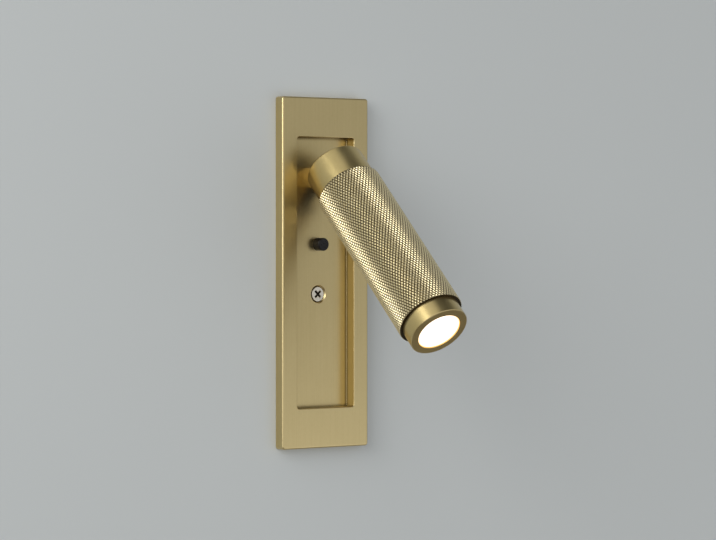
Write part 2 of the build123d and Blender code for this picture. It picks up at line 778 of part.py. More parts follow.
# Yoke: two cheeks astride the tongue, joined by a nose inside the collar's spigot
yoke_radius = collar_bore_radius - spigot_clearance
yoke_start = collar_floor + yoke_end_gap
yoke_joint = eye_radius + 2 * collar_slot_clearance
bolt_head_x = -yoke_radius + 2 * yoke_end_gap
bolt_seat_x = bolt_head_x + bolt_head_thickness
nut_seat_x = yoke_radius - 3 * yoke_end_gap - nut_thickness
side_plane = Plane(origin=(0, pivot_y, pivot_z), x_dir=head_axis, z_dir=(1, 0, 0))

with BuildPart() as hinge_yoke:
    with BuildSketch(head_plane(yoke_start)):
        Circle(yoke_radius)
    extrude(amount=yoke_joint + yoke_nose - yoke_start)
    with BuildSketch(head_plane(yoke_start)):
        Rectangle(2 * washer_slot, 2 * yoke_radius)
    extrude(amount=yoke_joint - yoke_start, mode=Mode.SUBTRACT)
    with BuildSketch(head_plane(yoke_joint)):
        Circle(yoke_lead_bore / 2)
    extrude(amount=yoke_nose, mode=Mode.SUBTRACT)
    with BuildSketch(side_plane):
        Circle(bolt_diameter / 2 + thread_clearance)
    extrude(amount=yoke_radius, both=True, mode=Mode.SUBTRACT)
    with BuildSketch(side_plane.offset(bolt_seat_x)):
        Circle(bolt_head_diameter / 2 + thread_clearance)
    extrude(amount=-yoke_radius, mode=Mode.SUBTRACT)
    with BuildSketch(side_plane.offset(nut_seat_x)):
        RegularPolygon(nut_across_flats / 2 + thread_clearance, 6, major_radius=False)
    extrude(amount=yoke_radius, mode=Mode.SUBTRACT)
hinge_yoke.part.label = "hinge_yoke"

with BuildPart() as pivot_bolt:
    with BuildSketch(side_plane.offset(bolt_head_x)):
        Circle(bolt_head_diameter / 2)
    extrude(amount=bolt_head_thickness)
    with BuildSketch(side_plane.offset(bolt_head_x)):
        Circle(bolt_diameter / 2)
    extrude(amount=nut_seat_x + nut_thickness - bolt_head_x)
pivot_bolt.part.label = "pivot_bolt"

with BuildPart() as pivot_nut:
    with BuildSketch(side_plane.offset(nut_seat_x)):
        RegularPolygon(nut_across_flats / 2, 6, major_radius=False)
        Circle(bolt_diameter / 2 + thread_clearance, mode=Mode.SUBTRACT)
    extrude(amount=nut_thickness)
pivot_nut.part.label = "pivot_nut"

with BuildPart() as friction_washers:
    for washer_x in (
        tongue_width / 2 + washer_clearance,
        -tongue_width / 2 - washer_clearance - washer_thickness,
    ):
        with BuildSketch(side_plane.offset(washer_x)):
            Circle(washer_diameter / 2)
            Circle(bolt_diameter / 2 + thread_clearance, mode=Mode.SUBTRACT)
        extrude(amount=washer_thickness)
friction_washers.part.label = "friction_washers"

# ---------------------------------------------------------------- head: light engine

lens_seat = bezel_end - bezel_lip
lens_back = lens_seat - lens_flange_thickness
reflector_front = lens_back - seal_thickness
board_back = sleeve_end - heat_sink_length / 2
sink_start = board_back - heat_sink_length
board_front = board_back + board_thickness
lens_flange_radius = bezel_bore_radius - lens_clearance

with BuildPart() as heat_sink:
    with BuildSketch(head_plane(sink_start)):
        Circle(spigot_radius)
        with PolarLocations((spigot_radius + heat_sink_core_diameter / 2) / 2, fin_count):
            Rectangle(
                spigot_radius - heat_sink_core_diameter / 2 + 2 * fin_gap_overrun,
                fin_gap,
                mode=Mode.SUBTRACT,
            )
        Circle(heat_sink_core_diameter / 2)
    extrude(amount=heat_sink_length - heat_sink_face)
    with BuildSketch(head_plane(board_back - heat_sink_face)):
        Circle(spigot_radius)
        with GridLocations(board_screw_spacing, 0, 2, 1):
            Circle(small_screw_diameter / 2 + thread_clearance, mode=Mode.SUBTRACT)
    extrude(amount=heat_sink_face)
heat_sink.part.label = "heat_sink"

with BuildPart() as led_board:
    with BuildSketch(head_plane(board_back)):
        Circle(board_diameter / 2)
        with GridLocations(board_screw_spacing, 0, 2, 1):
            Circle(small_screw_diameter / 2 + thread_clearance, mode=Mode.SUBTRACT)
    extrude(amount=board_thickness)
led_board.part.label = "led_board"

board_screws = pan_head_screws(
    head_plane(board_front),
    [(-board_screw_spacing / 2, 0), (board_screw_spacing / 2, 0)],
    small_screw_diameter,
    board_thickness + heat_sink_face,
)
board_screws.part.label = "board_screws"

with BuildPart() as led_emitter:
    with BuildSketch(head_plane(board_front)):
        Rectangle(emitter_width, emitter_width)
    extrude(amount=emitter_thickness)
led_emitter.part.label = "led_emitter"

# Reflector: a thin cone from the board to the lens seal, with a flange at its mouth
with BuildPart() as reflector:
    throat = reflector_throat_diameter / 2
    mouth = lens_aperture_diameter / 2 - reflector_wall
    with BuildSketch(Plane(head_plane(0).origin, x_dir=(1, 0, 0), z_dir=head_plane(0).y_dir)):
        Polygon(
            (throat, -board_front),
            (throat + reflector_wall, -board_front),
            (mouth + reflector_wall, -reflector_front + reflector_wall),
            (lens_flange_radius, -reflector_front + reflector_wall),
            (lens_flange_radius, -reflector_front),
            (mouth, -reflector_front),
            align=None,
        )
    revolve(axis=Axis((0, pivot_y, pivot_z), head_axis))
reflector.part.label = "reflector"

with BuildPart() as lens_seal:
    with BuildSketch(head_plane(reflector_front)):
        Circle(lens_flange_radius)
        Circle(lens_aperture_diameter / 2, mode=Mode.SUBTRACT)
    extrude(amount=seal_thickness)
lens_seal.part.label = "lens_seal"

with BuildPart() as lens:
    with BuildSketch(head_plane(lens_back)):
        Circle(lens_flange_radius)
    extrude(amount=lens_flange_thickness)
    with BuildSketch(head_plane(lens_seat)):
        Circle(lens_aperture_diameter / 2 - lens_clearance)
    extrude(amount=bezel_lip - lens_recess)
lens.part.label = "lens"

# ---------------------------------------------------------------- files

pieces = [
    front_plate, back_box, wall_seal, box_bridge, bridge_nut, fixing_screw, hinge_bracket,
    hinge_bracket_screws, switch_body, switch_back, switch_screws, switch_contacts,
    switch_plunger, contact_bridge, switch_spring, driver_case, driver_lid, driver_board,
    driver_transformer, driver_capacitor, driver_screws, terminal_block, block_screws,
    terminal_inserts, terminal_screws, cable_grommet, earth_screw, collar, knurled_sleeve,
    bezel, hinge_yoke, pivot_bolt, pivot_nut, friction_washers, heat_sink, led_board,
    board_screws, led_emitter, reflector, lens_seal, lens,
]
for piece in pieces:
    export_step(piece.part, f"parts/{piece.part.label}.step")
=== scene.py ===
# %% [markdown]
# # A bedside wall reading lamp, dressed in Blender
#
# The lamp is a tall satin brass plate with a long recess. A knurled head is hinged at the top
# of the recess: it folds down into it, or swings out to read by. A black push button beside
# the folded head's place switches the light, and one steel screw holds the plate to its box.
#
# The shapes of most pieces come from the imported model, in metres: X along the wall, +Y into the
# wall, +Z up. This file gives every piece its finish, and makes new meshes where the real
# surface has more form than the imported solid: the knurl, the lens, the cross-head screw, the
# push button and its spring, the rubber grommet and the foam seal.

import json
from math import cos, pi, radians, sin, sqrt, tan

import bmesh
import bpy
from mathutils import Matrix, Vector, noise


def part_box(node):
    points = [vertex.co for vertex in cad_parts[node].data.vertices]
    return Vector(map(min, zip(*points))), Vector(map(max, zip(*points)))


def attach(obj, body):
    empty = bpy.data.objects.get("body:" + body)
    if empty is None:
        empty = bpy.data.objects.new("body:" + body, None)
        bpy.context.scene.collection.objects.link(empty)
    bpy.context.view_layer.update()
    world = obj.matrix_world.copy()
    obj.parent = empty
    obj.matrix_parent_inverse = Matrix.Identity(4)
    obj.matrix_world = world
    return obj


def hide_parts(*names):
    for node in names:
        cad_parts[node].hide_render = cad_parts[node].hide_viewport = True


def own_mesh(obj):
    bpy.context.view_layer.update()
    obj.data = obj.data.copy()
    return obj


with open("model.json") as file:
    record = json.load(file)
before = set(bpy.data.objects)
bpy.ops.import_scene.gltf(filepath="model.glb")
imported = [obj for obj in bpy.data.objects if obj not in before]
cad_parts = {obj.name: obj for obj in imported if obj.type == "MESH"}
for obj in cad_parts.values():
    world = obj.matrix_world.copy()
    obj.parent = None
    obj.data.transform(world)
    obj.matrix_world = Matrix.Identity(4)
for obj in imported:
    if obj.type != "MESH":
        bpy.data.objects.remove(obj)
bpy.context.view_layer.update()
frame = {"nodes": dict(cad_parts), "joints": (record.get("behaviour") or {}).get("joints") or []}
mm = 0.001
touching = 1e-6

# %% [markdown]
# ## The camera
#
# The lamp is seen from the left and level with its middle. A long lens keeps the plate's edges
# nearly parallel. The camera is turned with `to_track_quat`: its -Z looks at the target and
# its Y stays up, which leaves it without any roll.

# %% Camera
camera_place = Vector((-0.9186, -1.2195, 0.0193))
camera_target = Vector((0.02083, -0.006, 0.00126))
camera_data = bpy.data.cameras.new("camera")
camera_data.sensor_width = 36
camera_data.lens = 148.93
camera = bpy.data.objects.new("camera", camera_data)
bpy.context.scene.collection.objects.link(camera)
camera.location = camera_place
camera.rotation_mode = "QUATERNION"
camera.rotation_quaternion = (camera_target - camera_place).to_track_quat("-Z", "Y")
bpy.context.scene.camera = camera
print("camera is", round((camera_target - camera_place).length, 3), "m from the plate")

# %% [markdown]
# ## Small helpers for node trees
#
# A procedural material is a tree of nodes. Written out in full, the nodes and links hide what
# the material does, so a few short helpers do the wiring. `add_node` makes a node and fills its
# sockets, with a value or with a link. `maths`, `remap` and `mix_colours` are the nodes that
# come up most. `drive` links sockets to a shader, and `add_bump` gives it a relief.

# %% Node helpers
def add_node(tree, kind, settings=None, **sockets):
    """Adds a node. Socket names are written with _ for spaces; a socket object is linked."""
    node = tree.nodes.new(kind)
    for name, value in (settings or {}).items():
        setattr(node, name, value)
    for name, value in sockets.items():
        key = int(name[1:]) if name[0] == "i" and name[1:].isdigit() else name.replace("_", " ")
        if isinstance(value, bpy.types.NodeSocket):
            tree.links.new(value, node.inputs[key])
        else:
            node.inputs[key].default_value = value
    return node


def maths(tree, operation, first, second=0.0):
    """One Math node; the inputs are numbers or sockets."""
    node = add_node(tree, "ShaderNodeMath", {"operation": operation}, i0=first, i1=second)
    return node.outputs[0]


def remap(tree, value, low, high, new_low, new_high):
    """Maps low..high to new_low..new_high and clamps what lies outside."""
    node = add_node(
        tree, "ShaderNodeMapRange", None,
        Value=value, From_Min=low, From_Max=high, To_Min=new_low, To_Max=new_high,
    )
    return node.outputs["Result"]


def mix_colours(tree, factor, first, second):
    """Blends two colours by a factor from 0 to 1."""
    node = tree.nodes.new("ShaderNodeMix")
    node.data_type = "RGBA"
    for index, value in ((0, factor), (6, first), (7, second)):
        if isinstance(value, bpy.types.NodeSocket):
            tree.links.new(value, node.inputs[index])
        else:
            node.inputs[index].default_value = value
    return node.outputs[2]


def new_material(name):
    """A material with an empty tree but for its Principled shader and its output."""
    material = bpy.data.materials.new(name)
    material.use_nodes = True
    tree = material.node_tree
    return material, tree, tree.nodes["Principled BSDF"]


def drive(tree, shader, **sockets):
    """Links sockets to a shader's inputs; names are written with _ for spaces."""
    for name, socket in sockets.items():
        tree.links.new(socket, shader.inputs[name.replace("_", " ")])


def add_bump(tree, shader, height, distance):
    """Gives a shader a bump that is this deep, in metres."""
    bump = add_node(tree, "ShaderNodeBump", None, Height=height, Distance=distance)
    drive(tree, shader, Normal=bump.outputs["Normal"])


def distance_from_axis(tree):
    """How far a point lies from its object's own z axis."""
    place = add_node(tree, "ShaderNodeTexCoord").outputs["Object"]
    across = add_node(
        tree, "ShaderNodeVectorMath", {"operation": "MULTIPLY"}, i0=place, i1=(1.0, 1.0, 0.0)
    ).outputs["Vector"]
    return add_node(
        tree, "ShaderNodeVectorMath", {"operation": "LENGTH"}, i0=across
    ).outputs["Value"]


print("helpers ready")

# %% [markdown]
# ## Groups, for effects that several materials use
#
# The same grain or wear turns up in several materials. Its nodes could be copied into each, but
# a node group is made once and placed where it is wanted, and a change to it reaches them all.
# `new_group` makes one with named sockets, and `use_group` places it.

# %% Group helpers
def new_group(name, inputs, outputs):
    """An empty shader node group; an input that starts as a tuple is a vector."""
    group = bpy.data.node_groups.new(name, "ShaderNodeTree")
    for label, start in inputs.items():
        kind = "NodeSocketVector" if isinstance(start, tuple) else "NodeSocketFloat"
        group.interface.new_socket(label, in_out="INPUT", socket_type=kind).default_value = start
    for label in outputs:
        group.interface.new_socket(label, in_out="OUTPUT", socket_type="NodeSocketFloat")
    given = group.nodes.new("NodeGroupInput").outputs
    made = group.nodes.new("NodeGroupOutput").inputs
    return group, given, made


def use_group(tree, group, **sockets):
    """Places a node group in a material and returns its outputs."""
    return add_node(tree, "ShaderNodeGroup", {"node_tree": group}, **sockets).outputs


print("group helpers ready")

# %% [markdown]
# ## Grain and handling
#
# The brass is bead-blasted and then lacquered: a very fine grain, a soft satin gloss, and a
# faint cloudiness where hands have been. Noise textures make both. `blasted grain` adds a fine
# noise to a coarser one, and `handling` changes slowly, over centimetres.

# %% Group: blasted grain
blasted_grain, given, made = new_group("blasted grain", {"Size": 0.0004}, ["Height", "Speckle"])
place = add_node(blasted_grain, "ShaderNodeTexCoord").outputs["Object"]
frequency = maths(blasted_grain, "DIVIDE", 1.0, given["Size"])
fine = add_node(
    blasted_grain, "ShaderNodeTexNoise", None, Vector=place, Scale=frequency, Detail=3.0,
    Roughness=0.6,
)
coarse = add_node(
    blasted_grain, "ShaderNodeTexNoise", None, Vector=place,
    Scale=maths(blasted_grain, "MULTIPLY", frequency, 0.23), Detail=2.0,
)
blasted_grain.links.new(fine.outputs["Fac"], made["Height"])
speckle = maths(
    blasted_grain, "ADD",
    maths(blasted_grain, "MULTIPLY", fine.outputs["Fac"], 0.6),
    maths(blasted_grain, "MULTIPLY", coarse.outputs["Fac"], 0.4),
)
blasted_grain.links.new(remap(blasted_grain, speckle, 0.32, 0.68, 0.0, 1.0), made["Speckle"])
print("group:", blasted_grain.name)

# %% Group: handling
handling, given, made = new_group("handling", {"Size": 0.03}, ["Cloud", "Smudge"])
place = add_node(handling, "ShaderNodeTexCoord").outputs["Object"]
frequency = maths(handling, "DIVIDE", 1.0, given["Size"])
cloud = add_node(
    handling, "ShaderNodeTexNoise", None, Vector=place, Scale=frequency, Detail=4.0,
    Roughness=0.55, Distortion=0.4,
)
smudge = add_node(
    handling, "ShaderNodeTexNoise", None, Vector=place,
    Scale=maths(handling, "MULTIPLY", frequency, 3.7), Detail=5.0, Distortion=1.6,
)
handling.links.new(remap(handling, cloud.outputs["Fac"], 0.3, 0.7, 0.0, 1.0), made["Cloud"])
handling.links.new(remap(handling, smudge.outputs["Fac"], 0.52, 0.7, 0.0, 1.0), made["Smudge"])
print("group:", handling.name)

# %% [markdown]
# ## Edges and inner corners
#
# Edges get a painted highlight: a pale colour where the bevel node finds an edge. Inner corners
# get painted shade: a dark colour where ambient occlusion finds a hollow. Both could be painted
# by hand, but they follow from the shape. A bevel node finds edges by rounding the normal, and
# ambient occlusion finds hollows; it looks only at the piece itself.

# %% Group: painted edge highlight
edge_highlight_group, given, made = new_group("bright edges", {"Width": 0.0004}, ["Edge"])
rounded = add_node(edge_highlight_group, "ShaderNodeBevel", {"samples": 4}, Radius=given["Width"])
flat = add_node(edge_highlight_group, "ShaderNodeNewGeometry").outputs["Normal"]
agreement = add_node(
    edge_highlight_group, "ShaderNodeVectorMath", {"operation": "DOT_PRODUCT"},
    i0=rounded.outputs[0], i1=flat,
)
edge_highlight_group.links.new(
    remap(edge_highlight_group, agreement.outputs["Value"], 0.98, 0.8, 0.0, 1.0), made["Edge"]
)
print("group:", edge_highlight_group.name)

# %% Group: painted corner shade
# Ambient occlusion gives the mask where the inner corners get painted shade.
corner_shade_group, given, made = new_group("corner_shade_group", {"Reach": 0.0015}, ["Crevice"])
openness = add_node(
    corner_shade_group, "ShaderNodeAmbientOcclusion", {"samples": 12, "only_local": True},
    Distance=given["Reach"],
).outputs["AO"]
corner_shade_group.links.new(remap(corner_shade_group, openness, 0.96, 0.55, 0.0, 1.0), made["Crevice"])
print("group:", corner_shade_group.name)

# %% [markdown]
# ## Brushed lines
#
# Under its lacquer the plate still shows the last stroke of the finishing belt: lines a few
# tenths of a millimetre apart, that run the plate's whole height. A noise texture makes such
# lines when it is squeezed hard across them and barely along them, so the group divides the
# place by a fine pitch across and a long one upwards.

# %% Group: brushed lines
brushed_lines, given, made = new_group(
    "brushed lines", {"Pitch": 0.0004, "Length": 0.05}, ["Line"]
)
place = add_node(brushed_lines, "ShaderNodeTexCoord").outputs["Object"]
parts = add_node(brushed_lines, "ShaderNodeSeparateXYZ", None, Vector=place).outputs
squeezed = add_node(
    brushed_lines, "ShaderNodeCombineXYZ", None,
    X=maths(brushed_lines, "DIVIDE", parts["X"], given["Pitch"]),
    Y=maths(brushed_lines, "DIVIDE", parts["Y"], given["Pitch"]),
    Z=maths(brushed_lines, "DIVIDE", parts["Z"], given["Length"]),
).outputs["Vector"]
strokes = add_node(
    brushed_lines, "ShaderNodeTexNoise", None, Vector=squeezed, Scale=1.0, Detail=3.0,
    Roughness=0.65,
)
brushed_lines.links.new(
    remap(brushed_lines, strokes.outputs["Fac"], 0.3, 0.7, 0.0, 1.0), made["Line"]
)
print("group:", brushed_lines.name)

# %% [markdown]
# ## Rings left by the lathe
#
# The collar and the bezel were turned before they were blasted, and faint rings still run
# round them. The group measures how far along the head's axis a point lies, and turns that
# into a fine uneven wave. The axis goes in as a vector, so the same group serves any piece.

# %% Group: lathe rings
tilt_at_rest = radians(45.8)
head_axis = Vector((0, -sin(tilt_at_rest), -cos(tilt_at_rest)))

lathe_rings, given, made = new_group(
    "lathe rings", {"Axis": (0, 0, 1), "Pitch": 0.0005}, ["Height"]
)
place = add_node(lathe_rings, "ShaderNodeTexCoord").outputs["Object"]
along = add_node(
    lathe_rings, "ShaderNodeVectorMath", {"operation": "DOT_PRODUCT"}, i0=place, i1=given["Axis"]
).outputs["Value"]
rings = add_node(
    lathe_rings, "ShaderNodeTexNoise", {"noise_dimensions": "1D"},
    W=maths(lathe_rings, "DIVIDE", along, given["Pitch"]), Scale=1.0, Detail=2.0,
)
lathe_rings.links.new(rings.outputs["Fac"], made["Height"])
print("group:", lathe_rings.name)

# %% [markdown]
# ## The brass of the plate, the collar and the bezel
#
# Lacquered champagne brass is a metal, so its base colour is the colour of its reflection:
# a pale greenish gold. `Metallic` is 1, and a middling roughness gives the satin gloss. The
# grain makes a bump, and handling moves the tone and the gloss a little. Edges get a painted
# highlight in a paler colour, and inner corners get painted shade in a dark one. The plate and
# the turned pieces differ only in tone and in the marks of their making, so one function makes
# both brasses.

# %% Satin brass
champagne = (0.66, 0.535, 0.275, 1)
deep_champagne = (0.58, 0.46, 0.225, 1)
warm_champagne = (0.67, 0.525, 0.24, 1)
deep_warm_champagne = (0.585, 0.45, 0.19, 1)
# The next colour is a painted highlight for the edges.
edge_highlight_tone = (1.0, 0.86, 0.62, 1)
# The next colour is painted shade for the inner corners.
corner_shade_tone = (0.10, 0.07, 0.03, 1)
satin_gloss = 0.30


def brass(name, tone, deep_tone, spread, grain_height, rings=None, lines=0.0):
    """A satin brass in two tones; spread is how far the grain moves its roughness."""
    material, tree, shader = new_material(name)
    grain = use_group(tree, blasted_grain, Size=0.00032)
    marks = use_group(tree, handling, Size=0.035)
    corner_shade = use_group(tree, corner_shade_group, Reach=0.0018)["Crevice"]
    outward = remap(tree, corner_shade, 0.0, 0.3, 1.0, 0.0)
    edge = maths(
        tree, "MULTIPLY", use_group(tree, edge_highlight_group, Width=0.0005)["Edge"], outward
    )
    patina = maths(
        tree, "ADD", maths(tree, "MULTIPLY", marks["Cloud"], 0.7 - lines),
        maths(tree, "MULTIPLY", grain["Speckle"], 0.3),
    )
    if lines:
        line = use_group(tree, brushed_lines, Pitch=0.0006, Length=0.06)["Line"]
        patina = maths(tree, "ADD", patina, maths(tree, "MULTIPLY", line, lines))
    colour = mix_colours(tree, patina, tone, deep_tone)
    # Painted highlight on the edges, and painted shade in the inner corners.
    for mask, strength, over in ((edge, 0.35, edge_highlight_tone), (corner_shade, 0.75, corner_shade_tone)):
        colour = mix_colours(tree, maths(tree, "MULTIPLY", mask, strength), colour, over)
    roughness = remap(
        tree, grain["Speckle"], 0.0, 1.0, satin_gloss - spread, satin_gloss + spread
    )
    for mask, change in ((corner_shade, 0.15), (marks["Smudge"], 0.03), (edge, -0.05)):
        roughness = maths(tree, "ADD", roughness, maths(tree, "MULTIPLY", mask, change))
    drive(tree, shader, Base_Color=colour, Roughness=roughness)
    shader.inputs["Metallic"].default_value = 1.0
    height = grain["Height"]
    if rings:
        turned = use_group(tree, lathe_rings, Axis=rings, Pitch=0.00035)["Height"]
        height = maths(tree, "ADD", height, maths(tree, "MULTIPLY", turned, 0.5))
    add_bump(tree, shader, height, grain_height)
    return material


plate_brass = brass("plate_brass", champagne, deep_champagne, 0.02, 0.000004, lines=0.4)
turned_brass = brass(
    "turned_brass", warm_champagne, deep_warm_champagne, 0.006, 0.000001, rings=tuple(head_axis)
)
print("materials:", plate_brass.name, turned_brass.name)

# %% [markdown]
# ## Knurled brass
#
# On the knurl, the brass is polished on the crests and the upper slopes, and the grooves are
# painted dark: painted shade between the diamonds. A point's distance from the head's axis says
# how deep it lies, so the depth drives both the colour and the roughness. A painted texture for
# the grooves would have to be fitted to the mesh, while the distance fits by itself, and moves
# with the head.

# %% Knurled brass
sleeve_radius = 17.15 * mm
groove_depth = 0.4 * mm

polish_ends = sleeve_radius - 0.28 * groove_depth
groove_shade_full = sleeve_radius - 0.85 * groove_depth
crest_tone = (0.91, 0.78, 0.48, 1)
deep_crest_tone = (0.85, 0.72, 0.43, 1)
# The groove tone is painted shade between the diamonds.
groove_shade_tone = (0.05, 0.036, 0.016, 1)

knurled_brass, tree, shader = new_material("knurled_brass")
depth = remap(tree, distance_from_axis(tree), polish_ends, groove_shade_full, 0.0, 1.0)
grain = use_group(tree, blasted_grain, Size=0.00028)
marks = use_group(tree, handling, Size=0.03)
crest = mix_colours(tree, marks["Cloud"], crest_tone, deep_crest_tone)
gloss = remap(tree, depth, 0.0, 1.0, 0.23, 0.40)
drive(
    tree, shader, Base_Color=mix_colours(tree, depth, crest, groove_shade_tone),
    Roughness=maths(tree, "ADD", gloss, maths(tree, "MULTIPLY", grain["Speckle"], 0.05)),
)
shader.inputs["Metallic"].default_value = 1.0
add_bump(tree, shader, grain["Height"], 0.000008)
print("material:", knurled_brass.name)

# %% [markdown]
# ## The knurled sleeve
#
# A diamond knurl is two families of grooves, rolled into the tube as right-hand and left-hand
# helices. A picture or a bump could fake it, but the silhouette and the sparkle come from real
# facets, so each diamond is a small pyramid with its top flattened. The diamonds stand on a
# lattice: `right` counts cells along one helix and `left` along the other, and a step round the
# tube is one of each, the second backwards. The two wheels that roll a knurl are seldom the
# same, so one family here has more grooves than the other, which sets the rows a little askew.

# %% Knurl lattice
right_starts = 71
left_starts = 63
helix_angle = radians(30)
sleeve_length = 92.3 * mm
turn_per_length = tan(helix_angle) / (2 * pi * sleeve_radius)
crest_share = 0.42
crest_drop = 0.02 * mm
spare_rows = 2


def lattice_point(right, left, radius):
    """The point of the tube at this place of the lattice, at this radius."""
    angle = pi * (right / right_starts - left / left_starts)
    along = (right / right_starts + left / left_starts) / (2 * turn_per_length)
    return Vector((radius * cos(angle), radius * sin(angle), along))


def knurl_mesh():
    """The knurled skin, a little longer than the sleeve at both ends."""
    skin = bmesh.new()
    corners = {}

    def corner(right, left):
        """The lowest point between four diamonds, made once, also where the tube closes."""
        turns = int(right // right_starts)
        key = (round(2 * (right - turns * right_starts)), round(2 * (left + turns * left_starts)))
        if key not in corners:
            corners[key] = skin.verts.new(lattice_point(right, left, sleeve_radius - groove_depth))
        return corners[key]

    rows = 2 * turn_per_length * sleeve_length * left_starts
    for right in range(right_starts):
        first = int(-right * left_starts / right_starts) - spare_rows
        for left in range(first, first + int(rows) + 3 * spare_rows):
            steps = [(0.5, 0.5), (-0.5, 0.5), (-0.5, -0.5), (0.5, -0.5)]
            foot = [corner(right + a, left + b) for a, b in steps]
            top = []
            for a, b in steps:
                place = (right + crest_share * a, left + crest_share * b)
                top.append(skin.verts.new(lattice_point(*place, sleeve_radius - crest_drop)))
            peak = skin.verts.new(lattice_point(right, left, sleeve_radius))
            for k in range(4):
                n = (k + 1) % 4
                skin.faces.new((foot[k], foot[n], top[n], top[k]))
                skin.faces.new((top[k], top[n], peak))
    return skin


skin = knurl_mesh()
print("knurl faces:", len(skin.faces), "of", right_starts, "by", left_starts, "grooves")

# %% [markdown]
# The skin is longer than the tube, so `bisect_plane` cuts it square at both ends. The shoulder
# by the collar is rounded: more cuts near that end give the skin rings of points, and each
# point is then pushed inwards by the drop of a quarter circle. The pattern runs over the
# shoulder and fades with it, as it does when a knurl wheel starts beyond the tube's edge.

# %% Cut the skin to length
shoulder_radius = 1.4 * mm
shoulder_cuts = (0.04, 0.12, 0.25, 0.45, 0.7, 1.0)
rim_chamfer = 0.3 * mm


def cut_along(mesh, place, drop_below=False, drop_above=False):
    """Cuts a mesh square to its z axis at this height, and may drop what lies beyond."""
    bmesh.ops.bisect_plane(
        mesh, geom=mesh.verts[:] + mesh.edges[:] + mesh.faces[:], dist=0.1 * touching,
        plane_co=(0, 0, place), plane_no=(0, 0, 1),
        clear_inner=drop_below, clear_outer=drop_above,
    )


def drop_at(along):
    """How far the skin lies inside the sleeve's radius at this distance from the shoulder."""
    if along < shoulder_radius:
        rise = shoulder_radius - max(along, 0.0)
        return shoulder_radius - sqrt(shoulder_radius**2 - rise**2)
    return max(0.0, along - (sleeve_length - rim_chamfer))


def move_radius(point, change):
    """The place of a point that has moved towards the z axis by this much."""
    across = sqrt(point.x**2 + point.y**2)
    return Vector((point.x, point.y, 0)) * ((across - change) / across) + Vector((0, 0, point.z))


cut_along(skin, 0.0, drop_below=True)
cut_along(skin, sleeve_length, drop_above=True)
for share in shoulder_cuts:
    cut_along(skin, share * shoulder_radius)
cut_along(skin, sleeve_length - rim_chamfer)
for point in skin.verts:
    point.co = move_radius(point.co, drop_at(point.co.z))
print("skin is cut to", round(sleeve_length / mm, 1), "mm, faces:", len(skin.faces))

# %% [markdown]
# ## The sleeve as a piece
#
# A skin alone has no wall, so the tube needs its flat ends and its bore. A Solidify modifier
# would thicken every diamond, so the ends are made one by one: each rim is drawn in to the bore as
# a flat ring, and `bridge_loops` joins the two rings inside. Every new mesh then becomes an
# object that rides on a body, carries a finish and stands for the imported piece it replaces.

# %% Sleeve
bore_radius = 14.1 * mm
collar_length = 16.4 * mm
pivot_inset = 11.6 * mm
sleeve_start = collar_length - pivot_inset
pivot = Vector(frame["joints"][0]["pos_m"])
sideways = Vector((1, 0, 0))
head_matrix = Matrix.Translation(pivot) @ Matrix(
    (sideways, head_axis.cross(sideways), head_axis)
).transposed().to_4x4()


def close_end(mesh, place):
    """Adds a flat ring from the skin's end to the bore, and returns the bore's edges."""
    rim = [
        e for e in mesh.edges
        if e.is_boundary and all(abs(v.co.z - place) < touching for v in e.verts)
    ]
    grown = bmesh.ops.extrude_edge_only(mesh, edges=rim)["geom"]
    inner = {v for v in grown if isinstance(v, bmesh.types.BMVert)}
    for v in inner:
        across = sqrt(v.co.x**2 + v.co.y**2)
        v.co = Vector((v.co.x * bore_radius / across, v.co.y * bore_radius / across, place))
    return [e for e in mesh.edges if all(v in inner for v in e.verts)]


bore_edges = close_end(skin, 0.0) + close_end(skin, sleeve_length)
bmesh.ops.bridge_loops(skin, edges=bore_edges)
bmesh.ops.recalc_face_normals(skin, faces=skin.faces[:])


def new_object(name, mesh, material):
    """Turns a bmesh into an object of the scene."""
    data = bpy.data.meshes.new(name)
    mesh.to_mesh(data)
    mesh.free()
    data.materials.append(material)
    thing = bpy.data.objects.new(name, data)
    bpy.context.scene.collection.objects.link(thing)
    return thing


def finish_piece(name, mesh, body, material, stands_for, matrix=None, smooth=False):
    """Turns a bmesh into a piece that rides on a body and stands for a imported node."""
    piece = new_object(name, mesh, material)
    piece.data.shade_smooth() if smooth else piece.data.shade_flat()
    if matrix:
        piece.matrix_world = matrix
    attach(piece, body)
    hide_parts(stands_for)
    print(name, "faces:", len(piece.data.polygons))
    return piece


finish_piece(
    "knurled_tube", skin, "head", knurled_brass, "knurled_sleeve",
    head_matrix @ Matrix.Translation((0, 0, sleeve_start)),
)

# %% [markdown]
# ## The lens
#
# The lens is a disc of frosted plastic with the light on behind it. A real diffuser glows
# evenly and turns warmer at its rim, where the light has crossed more plastic. Light sent
# through frosted plastic takes long to render, so the shader gives off light itself:
# `Emission Color` runs from white in the middle to amber at the rim. The disc is turned: a line
# of points is spun round an axis, as on a lathe.

# %% Turned pieces
def turned_piece(mesh, profile, segments, closed=False):
    """Spins a line of (radius, along) points round the z axis; a closed line makes a ring."""
    rings = []
    for radius, along in profile:
        if radius < touching:
            rings.append([mesh.verts.new((0, 0, along))])
            continue
        turns = [2 * pi * k / segments for k in range(segments)]
        rings.append([mesh.verts.new((radius * cos(t), radius * sin(t), along)) for t in turns])
    if closed:
        rings.append(rings[0])
    for first, second in zip(rings, rings[1:]):
        for k in range(segments):
            n = (k + 1) % segments
            if len(first) == 1:
                mesh.faces.new((first[0], second[n], second[k]))
            elif len(second) == 1:
                mesh.faces.new((first[k], first[n], second[0]))
            else:
                mesh.faces.new((first[k], first[n], second[n], second[k]))
    return mesh


def rounded_corner(centre, radius, start, end, steps=6):
    """Points of an arc in a profile, from start to end degrees."""
    angles = [radians(start + (end - start) * k / steps) for k in range(steps + 1)]
    return [(centre[0] + radius * cos(a), centre[1] + radius * sin(a)) for a in angles]


print("turned pieces are ready to spin")

